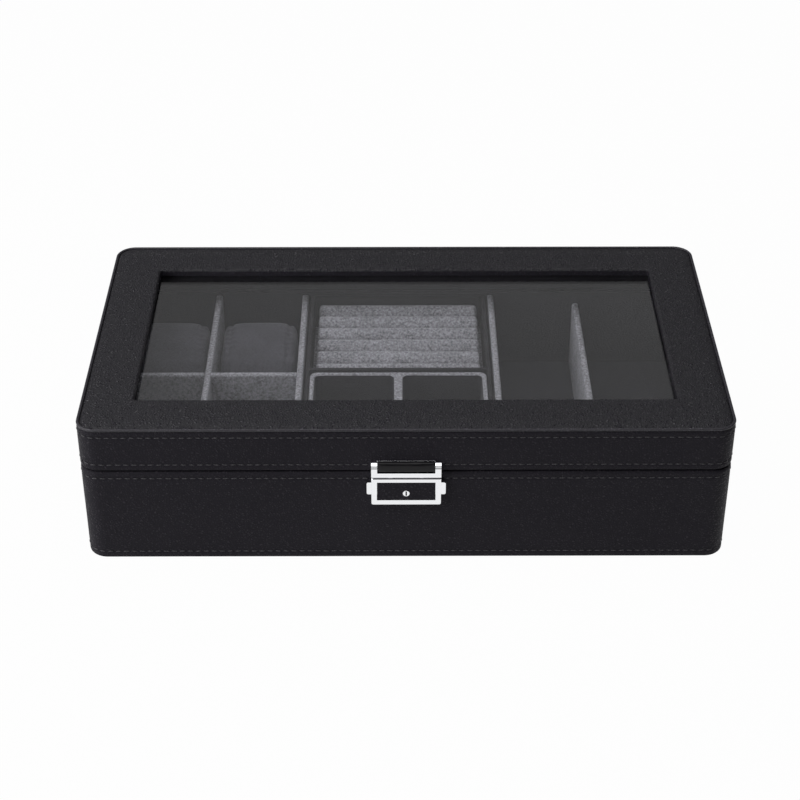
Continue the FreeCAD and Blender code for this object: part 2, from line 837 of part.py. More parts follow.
def hasp_leg(side):
    """One leg of the hasp: a sloped shoulder on top and two grooves across the face under it."""
    shoulder_z = hasp_top - hasp_slope_drop
    shoulder_out = lock_depth - hasp_slope_depth
    plate_bottom = lid_bottom + hasp_plate_foot
    profile = (
        (hasp_standoff, hasp_bottom),
        (lock_depth, hasp_bottom),
        (lock_depth, shoulder_z),
        (shoulder_out, hasp_top),
        (0, hasp_top),
        (0, plate_bottom),
        (hasp_standoff, plate_bottom),
    )
    corners = [Vector(hasp_inner_x, -half_depth - out, z) for out, z in profile]
    outline = Part.makePolygon(corners + corners[:1])
    leg = Part.Face(outline).extrude(Vector(hasp_side, 0, 0))
    floor = lock_depth - hasp_groove_depth
    for row in range(hasp_groove_count):
        high = shoulder_z - hasp_groove_drop - row * hasp_groove_pitch
        leg = leg.cut(front_block(hasp_inner_x, hasp_x, high - hasp_groove, high, floor, lock_depth))
    return leg if side > 0 else mirrored(leg)


def prong(side):
    front = prong_back + prong_thickness
    bar = front_block(prong_inner, prong_inner + prong_width, prong_bottom, hasp_bottom, prong_back, front)
    nose_z = slider_arm_z + slider_arm
    notch = front_block(
        prong_inner,
        prong_inner + prong_notch,
        nose_z + slider_nose_height / 2,
        nose_z + slider_nose_height + seat_clearance,
        prong_back,
        front,
    )
    bar = bar.cut(notch)
    return bar if side > 0 else mirrored(bar)


def build_hasp():
    plate_top = hasp_top + hasp_plate_rise
    plate_bottom = lid_bottom + hasp_plate_foot
    foot_top = hasp_bottom + hasp_foot
    frame = front_block(-hasp_inner_x, hasp_inner_x, plate_bottom, plate_top, 0, hasp_plate)
    frame = frame.fuse(front_block(-hasp_x, hasp_x, hasp_bottom, foot_top, hasp_standoff, lock_depth))
    for side in (-1, 1):
        frame = frame.fuse(hasp_leg(side)).fuse(prong(side))
    frame = frame.removeSplitter()
    save("hasp_frame", cut_all(frame, [clasp_screw_bore(x, z) for x, z in hasp_screw_places()]))

    pad_x = hasp_inner_x - fit_clearance
    pad_front = lock_depth + hasp_pad_proud
    pad_bottom_z = foot_top + fit_clearance
    pad_top_z = plate_top - fit_clearance
    pad = front_block(-pad_x, pad_x, pad_bottom_z, pad_top_z, hasp_plate, pad_front)
    brow = [
        edge
        for edge in front_rim(pad, pad_front)
        if edge.BoundBox.ZLength < tolerance and edge.BoundBox.ZMin > hasp_top
    ]
    save("hasp_inlay", pad.makeFillet(hasp_pad_round, brow))
    save("hasp_screws", *[clasp_screw(x, z) for x, z in hasp_screw_places()])


os.makedirs("parts", exist_ok=True)
build_base_boards()
build_base_leather()
build_base_linings()
build_dividers()
build_pillows()
build_tray()
build_ring_rolls()
build_trinket_insert()
build_lid_boards()
build_lid_rails()
build_lid_side_leather()
build_lid_top_leather()
build_lid_piping()
build_glass()
build_lid_lining()
build_hinges()
build_lock()
build_release_buttons()
build_key_plug()
build_hasp()
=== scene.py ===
import math

import bmesh
import bpy
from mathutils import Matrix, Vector, noise


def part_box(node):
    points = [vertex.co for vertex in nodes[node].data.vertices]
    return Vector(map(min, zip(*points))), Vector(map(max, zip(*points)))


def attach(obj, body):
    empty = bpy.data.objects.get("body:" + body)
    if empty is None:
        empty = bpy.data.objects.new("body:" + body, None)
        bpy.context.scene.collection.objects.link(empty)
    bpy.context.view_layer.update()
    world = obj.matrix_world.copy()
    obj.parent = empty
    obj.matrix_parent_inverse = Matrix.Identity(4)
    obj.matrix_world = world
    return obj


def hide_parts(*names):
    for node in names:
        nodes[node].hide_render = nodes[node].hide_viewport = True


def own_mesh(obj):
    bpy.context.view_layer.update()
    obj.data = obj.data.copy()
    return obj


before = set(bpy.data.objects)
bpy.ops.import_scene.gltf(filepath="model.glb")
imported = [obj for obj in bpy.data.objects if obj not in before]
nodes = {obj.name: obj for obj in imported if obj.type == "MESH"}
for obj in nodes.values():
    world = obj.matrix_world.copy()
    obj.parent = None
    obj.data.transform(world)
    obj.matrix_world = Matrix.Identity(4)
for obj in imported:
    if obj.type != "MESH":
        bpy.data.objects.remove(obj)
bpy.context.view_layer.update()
mm = 0.001
print("frame loaded:", len(nodes), "nodes")


# small tools used by every piece

def linearColour(hexText):
    channels = [int(hexText[place:place + 2], 16) / 255 for place in (1, 3, 5)]
    return [c / 12.92 if c <= 0.04045 else ((c + 0.055) / 1.055) ** 2.4 for c in channels] + [1.0]


def addNode(tree, kind, settings=None, inputs=None):
    # an input is a value, a socket, or a node for that node's first output
    node = tree.nodes.new(kind)
    for name, value in (settings or {}).items():
        setattr(node, name, value)
    for name, value in (inputs or {}).items():
        if isinstance(value, bpy.types.Node):
            value = value.outputs[0]
        if isinstance(value, bpy.types.NodeSocket):
            tree.links.new(value, node.inputs[name])
        else:
            node.inputs[name].default_value = value
    return node


def newMaterial(name):
    material = bpy.data.materials.new(name)
    material.use_nodes = True
    tree = material.node_tree
    tree.nodes.clear()
    return material, tree, addNode(tree, "ShaderNodeTexCoord").outputs["Object"]


def perMetre(sizeInMm):
    return 1 / (sizeInMm * mm)


def nodeBox(name):
    low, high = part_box(name)
    return low / mm, high / mm


def placeObject(name, data):
    made = bpy.data.objects.new(name, data)
    bpy.context.scene.collection.objects.link(made)
    return made


def bridgeRings(bm, rings, closed=False):
    # faces from each ring of points to the next; a row that isn't closed gets a cap at both ends
    followers = rings[1:] + rings[:1] if closed else rings[1:]
    for ring, after in zip(rings, followers):
        for step in range(len(ring)):
            following = (step + 1) % len(ring)
            bm.faces.new((ring[step], ring[following], after[following], after[step]))
    if not closed:
        bm.faces.new(rings[0])
        bm.faces.new(rings[-1])
    bmesh.ops.recalc_face_normals(bm, faces=bm.faces)


def meshPiece(name, bm, material, smoothAngle=40):
    mesh = bpy.data.meshes.new(name)
    bm.to_mesh(mesh)
    bm.free()
    mesh.materials.append(material)
    mesh.shade_smooth()
    mesh.set_sharp_from_angle(angle=math.radians(smoothAngle))
    return placeObject(name, mesh)


def bakeModifiers(piece):
    # a curve with modifiers becomes a mesh object of the same name
    view = bpy.context.evaluated_depsgraph_get()
    view.update()
    mesh = bpy.data.meshes.new_from_object(piece.evaluated_get(view), depsgraph=view)
    mesh.name = piece.name
    piece.modifiers.clear()
    if piece.type == "MESH":
        piece.data = mesh
        return piece
    name = piece.name
    bpy.data.objects.remove(piece)
    return placeObject(name, mesh)


def secondFinish(piece, material, chosen):
    # chosen is asked about the middle of each face
    piece.data.materials.append(material)
    for face in piece.data.polygons:
        if chosen(face.center):
            face.material_index = 1


def fit(piece, body, slot, *replaced):
    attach(piece, body)
    if replaced:
        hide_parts(*replaced)
    return piece


# materials

def makeLeatherette(name, valley, face, depth, shine, specular):
    # polyurethane leatherette, embossed and calendered: near-black with a violet cast, small
    # pebbles whose tops shine softly and whose valleys stay dull
    look = {
        "pebble": 1.4,      # mm, coarser than the real emboss so that it shows in the render
        "warp": 3.5,        # mm, bends the pebbles out of a regular pattern
        "pore": 0.32,       # mm
        "poreShare": 0.3,   # height of the pores beside that of the pebbles
        "cloud": 45.0,      # mm, slow change of shine over a panel
        "cloudShare": 0.14,
        "dull": 0.55,       # roughness of the valleys
    }
    material, tree, place = newMaterial(name)
    warp = addNode(tree, "ShaderNodeTexNoise", None,
                   {"Vector": place, "Scale": perMetre(look["warp"]), "Detail": 1.0})
    shift = addNode(tree, "ShaderNodeVectorMath", {"operation": "SCALE"},
                    {0: warp.outputs["Color"], "Scale": look["pebble"] * mm})
    bent = addNode(tree, "ShaderNodeVectorMath", {"operation": "ADD"}, {0: place, 1: shift})
    pebbles = addNode(tree, "ShaderNodeTexVoronoi", {"feature": "DISTANCE_TO_EDGE"},
                      {"Vector": bent, "Scale": perMetre(look["pebble"])})
    crown = addNode(tree, "ShaderNodeMapRange", {"interpolation_type": "SMOOTHSTEP"},
                    {"Value": pebbles.outputs["Distance"], "From Min": 0.0, "From Max": 0.45})
    cells = addNode(tree, "ShaderNodeTexVoronoi", None,
                    {"Vector": bent, "Scale": perMetre(look["pebble"])})
    rubbed = addNode(tree, "ShaderNodeMapRange", None,
                     {"Value": cells.outputs["Color"], "From Min": 0.25, "From Max": 0.75,
                      "To Min": 0.25})
    pale = addNode(tree, "ShaderNodeMath", {"operation": "MULTIPLY"}, {0: crown, 1: rubbed})
    pores = addNode(tree, "ShaderNodeTexNoise", None,
                    {"Vector": place, "Scale": perMetre(look["pore"]), "Detail": 2.0})
    relief = addNode(tree, "ShaderNodeMath", {"operation": "MULTIPLY_ADD"},
                     {0: pores, 1: look["poreShare"], 2: pale})
    cloud = addNode(tree, "ShaderNodeTexNoise", None,
                    {"Vector": place, "Scale": perMetre(look["cloud"]), "Detail": 3.0})
    colour = addNode(tree, "ShaderNodeMix", {"data_type": "RGBA"},
                     {0: pale, 6: linearColour(valley), 7: linearColour(face)})
    polish = addNode(tree, "ShaderNodeMapRange", None,
                     {"Value": pale, "From Max": 0.6, "To Min": look["dull"], "To Max": shine})
    rough = addNode(tree, "ShaderNodeMath", {"operation": "MULTIPLY_ADD"},
                    {0: cloud, 1: look["cloudShare"], 2: polish})
    bump = addNode(tree, "ShaderNodeBump", None,
                   {"Strength": 1.0, "Distance": depth * mm, "Height": relief})
    shader = addNode(tree, "ShaderNodeBsdfPrincipled", None, {
        "Base Color": colour.outputs[2], "Roughness": rough, "IOR": 1.5,
        "Specular IOR Level": specular, "Normal": bump})
    addNode(tree, "ShaderNodeOutputMaterial", None, {"Surface": shader})
    return material


def makeGlazedLeather():
    # the same leatherette drawn tight over a small pad: smoother and glossier, with fine creases
    look = {
        "base": "#0d0c0f",
        "crease": 1.6,      # mm
        "drawn": (0.35, 1.0, 1.6),      # the creases run along the pad
        "pore": 0.3,        # mm
        "poreShare": 0.25,
        "depth": 0.22,      # mm
    }
    material, tree, place = newMaterial("leatheretteGlazedTight")
    drawn = addNode(tree, "ShaderNodeMapping", None, {"Vector": place, "Scale": look["drawn"]})
    creases = addNode(tree, "ShaderNodeTexNoise", None,
                      {"Vector": drawn, "Scale": perMetre(look["crease"]), "Detail": 3.0})
    pores = addNode(tree, "ShaderNodeTexNoise", None,
                    {"Vector": place, "Scale": perMetre(look["pore"]), "Detail": 1.0})
    relief = addNode(tree, "ShaderNodeMath", {"operation": "MULTIPLY_ADD"},
                     {0: pores, 1: look["poreShare"], 2: creases})
    gloss = addNode(tree, "ShaderNodeMapRange", None,
                    {"Value": creases, "To Min": 0.22, "To Max": 0.42})
    bump = addNode(tree, "ShaderNodeBump", None,
                   {"Strength": 0.6, "Distance": look["depth"] * mm, "Height": relief})
    shader = addNode(tree, "ShaderNodeBsdfPrincipled", None, {
        "Base Color": linearColour(look["base"]), "Roughness": gloss, "IOR": 1.5,
        "Specular IOR Level": 0.22, "Normal": bump})
    addNode(tree, "ShaderNodeOutputMaterial", None, {"Surface": shader})
    return material


def makeVelvet(name, low, high, pile, nap):
    # velvet or flock: short upright pile, soft and speckled, paler where it leans to the light; pile and
    # nap are in mm, and the pile is coarser than a real one so that its specks show in the render
    look = {"leanShare": 0.4, "depth": 0.3, "sheen": "#d8d6dc"}     # depth in mm
    material, tree, place = newMaterial(name)
    tufts = addNode(tree, "ShaderNodeTexNoise", None,
                    {"Vector": place, "Scale": perMetre(pile), "Detail": 3.0, "Roughness": 0.7})
    lean = addNode(tree, "ShaderNodeTexNoise", None,
                   {"Vector": place, "Scale": perMetre(nap), "Detail": 2.0})
    speck = addNode(tree, "ShaderNodeMapRange", None,
                    {"Value": tufts, "From Min": 0.34, "From Max": 0.66, "To Max": 0.75})
    tone = addNode(tree, "ShaderNodeMath", {"operation": "MULTIPLY_ADD"},
                   {0: lean, 1: look["leanShare"], 2: speck})
    colour = addNode(tree, "ShaderNodeMix", {"data_type": "RGBA"},
                     {0: tone, 6: linearColour(low), 7: linearColour(high)})
    bump = addNode(tree, "ShaderNodeBump", None,
                   {"Strength": 0.7, "Distance": look["depth"] * mm, "Height": tufts})
    shader = addNode(tree, "ShaderNodeBsdfPrincipled", None, {
        "Base Color": colour.outputs[2], "Roughness": 0.95, "IOR": 1.45, "Specular IOR Level": 0.15,
        "Sheen Weight": 0.12, "Sheen Roughness": 0.5, "Sheen Tint": linearColour(look["sheen"]),
        "Normal": bump})
    addNode(tree, "ShaderNodeOutputMaterial", None, {"Surface": shader})
    return material


def makeMetal(name, hexText, rough, grit, depth):
    # plated or rolled metal: mirror colour of the plate, roughness broken up by its polish marks, which
    # are drawn out along the box
    drawnOut = (0.12, 1.0, 1.0)
    material, tree, place = newMaterial(name)
    drawn = addNode(tree, "ShaderNodeMapping", None, {"Vector": place, "Scale": drawnOut})
    marks = addNode(tree, "ShaderNodeTexNoise", None,
                    {"Vector": drawn, "Scale": perMetre(grit), "Detail": 3.0})
    polish = addNode(tree, "ShaderNodeMapRange", None,
                     {"Value": marks, "From Min": 0.3, "From Max": 0.7,
                      "To Min": rough[0], "To Max": rough[1]})
    bump = addNode(tree, "ShaderNodeBump", None,
                   {"Strength": 0.25, "Distance": depth * mm, "Height": marks})
    shader = addNode(tree, "ShaderNodeBsdfPrincipled", None, {
        "Base Color": linearColour(hexText), "Metallic": 1.0, "Roughness": polish, "Normal": bump})
    addNode(tree, "ShaderNodeOutputMaterial", None, {"Surface": shader})
    return material


def makeGlass():
    # clear float glass: a clean pane with a faint film, which lets the lamps reach what lies under it
    look = {"film": 60.0, "pane": "#fbfcfc", "shadow": "#f2f4f4"}     # film in mm
    material, tree, place = newMaterial("floatGlassClear")
    film = addNode(tree, "ShaderNodeTexNoise", None,
                   {"Vector": place, "Scale": perMetre(look["film"]), "Detail": 4.0})
    haze = addNode(tree, "ShaderNodeMapRange", None,
                   {"Value": film, "From Min": 0.35, "From Max": 0.75, "To Max": 0.01})
    pane = addNode(tree, "ShaderNodeBsdfPrincipled", None, {
        "Base Color": linearColour(look["pane"]), "Roughness": haze, "IOR": 1.5,
        "Transmission Weight": 1.0})
    clear = addNode(tree, "ShaderNodeBsdfTransparent", None, {"Color": linearColour(look["shadow"])})
    path = addNode(tree, "ShaderNodeLightPath")
    both = addNode(tree, "ShaderNodeMixShader", None,
                   {0: path.outputs["Is Shadow Ray"], 1: pane, 2: clear})
    addNode(tree, "ShaderNodeOutputMaterial", None, {"Surface": both})
    return material


def makeFibrous(name, low, high, fibre, rough, depth):
    # pressed fibres, as in fibreboard, felt and lining card: matt and flecked along the box
    drawnOut = (0.4, 1.0, 1.0)
    material, tree, place = newMaterial(name)
    drawn = addNode(tree, "ShaderNodeMapping", None, {"Vector": place, "Scale": drawnOut})
    strands = addNode(tree, "ShaderNodeTexNoise", None,
                      {"Vector": drawn, "Scale": perMetre(fibre), "Detail": 5.0, "Roughness": 0.75})
    colour = addNode(tree, "ShaderNodeMix", {"data_type": "RGBA"},
                     {0: strands, 6: linearColour(low), 7: linearColour(high)})
    bump = addNode(tree, "ShaderNodeBump", None,
                   {"Strength": 0.5, "Distance": depth * mm, "Height": strands})
    shader = addNode(tree, "ShaderNodeBsdfPrincipled", None, {
        "Base Color": colour.outputs[2], "Roughness": rough, "IOR": 1.45,
        "Specular IOR Level": 0.25, "Normal": bump})
    addNode(tree, "ShaderNodeOutputMaterial", None, {"Surface": shader})
    return material


def makeThread():
    # bonded polyester sewing thread, twisted: a shade paler than the leather, with a soft sheen
    look = {
        "low": "#1d1c20",
        "high": "#3a383e",
        "twist": 1.1,       # mm, coarser than a real twist so that it shows in the render
        "waves": 3.15,      # about what a wave texture repeats to one unit
        "depth": 0.1,       # mm
    }
    material, tree, place = newMaterial("polyesterThreadTwisted")
    turned = addNode(tree, "ShaderNodeMapping", None, {"Vector": place, "Rotation": (0.0, 0.6, 0.6)})
    plies = addNode(tree, "ShaderNodeTexWave", None,
                    {"Vector": turned, "Scale": perMetre(look["twist"]) / look["waves"],
                     "Distortion": 1.0})
    colour = addNode(tree, "ShaderNodeMix", {"data_type": "RGBA"},
                     {0: plies.outputs["Fac"], 6: linearColour(look["low"]),
                      7: linearColour(look["high"])})
    bump = addNode(tree, "ShaderNodeBump", None,
                   {"Strength": 0.5, "Distance": look["depth"] * mm, "Height": plies.outputs["Fac"]})
    shader = addNode(tree, "ShaderNodeBsdfPrincipled", None, {
        "Base Color": colour.outputs[2], "Roughness": 0.5, "IOR": 1.5, "Sheen Weight": 0.2,
        "Normal": bump})
    addNode(tree, "ShaderNodeOutputMaterial", None, {"Surface": shader})
    return material


leatherette = makeLeatherette(
    "leatherettePebbleStretched", "#201e24", "#302d34", depth=0.3, shine=0.36, specular=0.13)
# the pad's pebble crowns are far paler than its valleys: partly the grain's own tone, partly a painted
# glint on the pebble tops
paddedLeather = makeLeatherette(
    "leatherettePebbleEmbossed", "#19181d", "#37343c", depth=0.72, shine=0.18, specular=0.5)
# painted highlight: the piping takes a paler copy of the leatherette, standing in for the thin highlight
# along the cord
pipingHighlightLeather = makeLeatherette(
    "leatherettePipingRolled", "#28262c", "#423f47", depth=0.1, shine=0.22, specular=0.5)
glazedLeather = makeGlazedLeather()
liningVelvet = makeVelvet("velvetLiningFlocked", "#333236", "#9b99a0", pile=1.3, nap=25.0)
pillowVelvet = makeVelvet("velvetPillowWoven", "#232226", "#48464d", pile=0.9, nap=18.0)
# a dark copy of the lining velvet, painted shade for the walls, floors, lid linings and pockets
shadeVelvet = makeVelvet("velvetWallFlockedCharcoal", "#121115", "#232127", pile=1.2, nap=25.0)
chrome = makeMetal("chromePolishedPlate", "#eeeff1", rough=(0.05, 0.12), grit=0.5, depth=0.004)
nickel = makeMetal("nickelPlatedSteelRolled", "#c3c0b8", rough=(0.18, 0.34), grit=0.35, depth=0.01)
# near-black nickel, painted shade for the hinges at the back of the box
shadeHingeMetal = makeMetal("steelBlackNickelPlated", "#3d3b40", rough=(0.2, 0.36), grit=0.35, depth=0.01)
# near-black metal, painted shade inside the key slit and the hasp's grooves
recessShadeMetal = makeMetal("steelBlackOxidised", "#141317", rough=(0.4, 0.55), grit=0.35, depth=0.01)
glass = makeGlass()
fibreboard = makeFibrous("fibreboardSanded", "#8a6b47", "#b39468", fibre=0.8, rough=0.85, depth=0.08)
felt = makeFibrous("woolFeltPressed", "#0e0d10", "#232127", fibre=0.6, rough=0.95, depth=0.25)
# near-black card for the tray frame, and painted shade on the rails, the glass strips and the rear boards
blackCardShade = makeFibrous("liningCardBlackPaper", "#121114", "#1f1d22", fibre=0.4, rough=0.8, depth=0.04)
thread = makeThread()
slotFinish = {
    "board": fibreboard, "leather": leatherette, "felt": felt, "velvet": liningVelvet,
    "tray_card": blackCardShade, "pillow": pillowVelvet, "glass": glass, "chrome": chrome, "steel": nickel,
}
for node in nodes.values():
    for place, material in enumerate(node.data.materials):
        node.material_slots[place].material = slotFinish[material.name.split(".")[0]]
# painted shade: the walls, floors and lid linings take the dark copy of the lining velvet, and the
# hinges, the glass strips and the boards that show beside them are made near black, standing in for the
# shade deep in the box and behind the window's edges
shadeFinish = {name: shadeHingeMetal for name in nodes if name.startswith("hinge_")}
for name in ("base_wall_lining", "base_floor_lining", "lid_wall_lining", "tray_floor"):
    shadeFinish[name] = shadeVelvet
for name in ("glass_retainer", "base_rear_board", "lid_rear_board"):
    shadeFinish[name] = blackCardShade
for side in ("front", "rear", "left", "right"):
    shadeFinish["lid_" + side + "_rail"] = blackCardShade
for name, material in shadeFinish.items():
    for slot in nodes[name].material_slots:
        slot.material = material
print("materials made:", len(bpy.data.materials))


# leather covers, swept round the box outline with their seams pressed in

leatherLow, leatherHigh = nodeBox("base_leather_wrap")
cover = {
    "halfX": leatherHigh.x,
    "halfY": leatherHigh.y,
    "corner": 10.5,         # radius of the box's upright edges
    "leastCorner": 0.4,     # least radius of a corner inside them
    "skin": 1.0,
    "turnIn": 8.0,          # how far the skin is turned in over the boards
    "rim": 2.0,             # soft radius along the parting line
    "stitchPitch": 4.2,
    "stepsPerStitch": 4,
    "rowSpacing": 7.0,      # rows of points up a straight flank
    "seamRows": (0.35, 0.7, 1.1, 1.7),      # rows to either side of a seam
    "seamClear": 2.0,       # no other rows this near to a seam
    "flush": 0.01,          # points less far in than this are on the flank, where the seams are
    "groove": 0.3,          # how deep a seam draws the skin in
    "grooveWidth": 0.8,
    "pucker": 0.4,          # share of the groove that comes and goes with the stitches
    "slack": 0.09,          # slow unevenness of the stretched skin
    "slackLength": 34.0,
    "slackUp": 1.5,         # its waves are this much shorter upwards
    "slackEnds": 0.5,       # skin further in than this lies flat
}


def sideRuns(halfX, halfY, radius):
    x, y = halfX - radius, halfY - radius
    runs = [((-x, -halfY), (x, -halfY)), ((halfX, -y), (halfX, y)),
            ((x, halfY), (-x, halfY)), ((-halfX, y), (-halfX, -y))]
    centres = [(x, -y), (x, y), (-x, y), (-x, -y)]
    return runs, centres


quarterArc = math.pi / 2 * cover["corner"]
outlineLength = 4 * (cover["halfX"] + cover["halfY"] - 2 * cover["corner"]) + 4 * quarterArc
stitchCount = round(outlineLength / cover["stitchPitch"])


def outlinePlaces(count):
    # even steps round the box from the middle of the front, as (run or corner, share along it)
    longRun = 2 * (cover["halfX"] - cover["corner"])
    shortRun = 2 * (cover["halfY"] - cover["corner"])
    lengths = [longRun, quarterArc, shortRun, quarterArc] * 2
    places = []
    for step in range(count):
        along = (step * outlineLength / count + longRun / 2) % outlineLength
        part = 0
        while along > lengths[part]:
            along -= lengths[part]
            part += 1
        places.append((part, along / lengths[part]))
    return places


coverPlaces = outlinePlaces(stitchCount * cover["stepsPerStitch"])


def outlinePoint(place, inset, leastRadius=cover["leastCorner"]):
    part, share = place
    radius = max(cover["corner"] - inset, leastRadius)
    runs, centres = sideRuns(cover["halfX"] - inset, cover["halfY"] - inset, radius)
    side = part // 2
    if part % 2 == 0:
        (x0, y0), (x1, y1) = runs[side]
        return x0 + (x1 - x0) * share, y0 + (y1 - y0) * share
    angle = math.pi / 2 * (side - 1 + share)
    x, y = centres[side]
    return x + radius * math.cos(angle), y + radius * math.sin(angle)


def bend(inset, z, radius, start, end, steps):
    # an arc of a cover's section; at 0 degrees it faces straight out of the box
    turns = [math.radians(start + (end - start) * step / steps) for step in range(steps + 1)]
    return [(inset - radius * math.cos(turn), z + radius * math.sin(turn)) for turn in turns]


def upright(low, high, seams):
    # heights up a straight flank, close together where a seam presses in
    steps = max(2, round((high - low) / cover["rowSpacing"]))
    heights = {low + (high - low) * step / steps for step in range(steps + 1)}
    for seam in seams:
        heights = {z for z in heights if abs(z - seam) > cover["seamClear"] or z in (low, high)}
        heights.add(seam)
        for offset in cover["seamRows"]:
            heights |= {seam - offset, seam + offset}
    return [(0.0, z) for z in sorted(heights) if low <= z <= high]


def seamPress(z, step, seams):
    press = 0.0
    swing = 0.5 - 0.5 * math.cos(2 * math.pi * step / cover["stepsPerStitch"])
    for seam in seams:
        shape = math.exp(-((z - seam) / cover["grooveWidth"]) ** 2)
        press += cover["groove"] * shape * (1 - cover["pucker"] + cover["pucker"] * swing)
    return press


def sweptCover(name, profile, seams=(), leastRadius=cover["leastCorner"], material=leatherette,
               relief=None):
    bm = bmesh.new()
    rings = []
    for inset, z in profile:
        ring = []
        for step, place in enumerate(coverPlaces):
            pressed = inset
            height = z
            if inset < cover["flush"]:
                pressed += seamPress(z, step, seams)
            x, y = outlinePoint(place, pressed, leastRadius)
            if relief:
                x, y, height = relief(x, y, z, inset)
            ring.append(bm.verts.new((x * mm, y * mm, height * mm)))
        rings.append(ring)
    bridgeRings(bm, rings, closed=True)
    return meshPiece(name, bm, material)


def slackRelief(x, y, z, inset):
    # the skin lies a little unevenly on its boards, only ever inwards
    if inset > cover["slackEnds"]:
        return x, y, z
    wave = noise.noise(Vector((x, y, z * cover["slackUp"])) / cover["slackLength"])
    shrink = cover["slack"] * (0.5 + 0.5 * wave)
    return x * (1 - shrink / cover["halfX"]), y * (1 - shrink / cover["halfY"]), z


def cutHingeNotches(piece, low, high):
    # room in the turned-in skin for the two hinge leaves
    room = 0.3
    past = 1.0
    for side in ("left", "right"):
        leafLow, leafHigh = nodeBox("hinge_base_leaf_" + side)
        bm = bmesh.new()
        bmesh.ops.create_cube(bm, size=1.0)
        lowest = Vector((leafLow.x - room, leatherHigh.y - cover["turnIn"] - past, low))
        highest = Vector((leafHigh.x + room, leafHigh.y, high))
        for vertex in bm.verts:
            share = vertex.co + Vector((0.5, 0.5, 0.5))
            vertex.co = [(a + (b - a) * s) * mm for a, b, s in zip(lowest, highest, share)]
        cutter = meshPiece("notchCutter", bm, leatherette)
        cut = piece.modifiers.new("notch", "BOOLEAN")
        cut.object = cutter
        cut.solver = "EXACT"
        bakeModifiers(piece)
        bpy.data.objects.remove(cutter)


baseCover = {
    "low": leatherLow.z,
    "high": leatherHigh.z,
    "foot": 0.9,            # radius along the underside
    "seamIn": 4.1,          # from the lower and the upper edge to a seam
}
baseCover["seams"] = (baseCover["low"] + baseCover["seamIn"], baseCover["high"] - baseCover["seamIn"])
top, foot = baseCover["high"], baseCover["foot"]
rim, skin, turnIn = cover["rim"], cover["skin"], cover["turnIn"]
baseProfile = bend(foot, baseCover["low"] + foot, foot, -90, 0, steps=4)[:-1]
baseProfile += upright(baseCover["low"] + foot, top - rim, baseCover["seams"])
baseProfile += bend(rim, top - rim, rim, 0, 90, steps=6)[1:]
baseProfile += [(turnIn / 2, top), (turnIn, top), (turnIn, top - skin), (rim, top - skin)]
baseProfile += [(skin, top - rim), (skin, baseCover["low"])]
baseLeather = sweptCover("baseLeather", baseProfile, baseCover["seams"], relief=slackRelief)
cutHingeNotches(baseLeather, top - skin, top + skin)
fit(baseLeather, "base", "leather", "base_leather_wrap")

lidLow, lidHigh = nodeBox("lid_side_leather")
lidCover = {
    "low": lidLow.z,
    "high": lidHigh.z,
    "seamLow": 3.9,         # from the lower edge
    "seamHigh": 3.4,        # from the upper edge
    "tuck": 1.8,            # height over which the skin is drawn in under the piping
    "tuckDepth": 0.6,
    "tuckCurve": 1.5,
    "rim": 1.2,
}
lidCover["seams"] = (lidCover["low"] + lidCover["seamLow"], lidCover["high"] - lidCover["seamHigh"])
bottom, lidRim, tuck = lidCover["low"], lidCover["rim"], lidCover["tuck"]
lidProfile = bend(lidRim, bottom + lidRim, lidRim, -90, 0, steps=5)[:-1]
lidProfile += upright(bottom + lidRim, lidCover["high"] - tuck, lidCover["seams"])
for share in (0.25, 0.5, 0.75, 1.0):
    drawnIn = lidCover["tuckDepth"] * share ** lidCover["tuckCurve"]
    lidProfile.append((drawnIn, lidCover["high"] - tuck * (1 - share)))
lidProfile += [(skin, lidCover["high"]), (skin, bottom + rim), (rim, bottom + skin)]
lidProfile += [(turnIn, bottom + skin), (turnIn, bottom), (turnIn / 2, bottom)]
lidLeather = sweptCover("lidLeather", lidProfile, lidCover["seams"], relief=slackRelief)
cutHingeNotches(lidLeather, bottom - skin, bottom + skin)
fit(lidLeather, "lid", "leather", "lid_side_leather")

padLow, padHigh = nodeBox("lid_top_leather")
pad = {
    "outer": cover["halfX"] - padHigh.x,
    "window": cover["halfX"] + nodeBox("lid_left_rail")[1].x + skin,    # inset of the window's edge
    "low": padLow.z,
    "seat": nodeBox("lid_front_rail")[1].z,     # where the pad lies on the rails
    "high": padHigh.z,
    "lip": 1.5,             # radius along the window
    "leastCorner": 1.4,     # least radius of the window's corners
    "crown": 12.0,          # width over which the pad rolls down to the piping
    "crownOut": 1.6,        # powers that shape this roll
    "crownUp": 2.4,
    "edge": 0.25,           # its height above the rails there
    "tuck": 0.05,           # how far it is let into the rails
    "steps": 8,
    "dimple": 0.16,
    "dimpleLength": 19.0,
    "dimpleFrom": 0.5,      # height above the rails where the dimples begin
    "dimpleSlice": 7.0,     # the plane of the noise that is used
}


def padRelief(x, y, z, inset):
    if z < pad["seat"] + pad["dimpleFrom"]:
        return x, y, z
    wave = noise.noise(Vector((x, y, pad["dimpleSlice"])) / pad["dimpleLength"])
    return x, y, z - pad["dimple"] * (0.5 + 0.5 * wave)


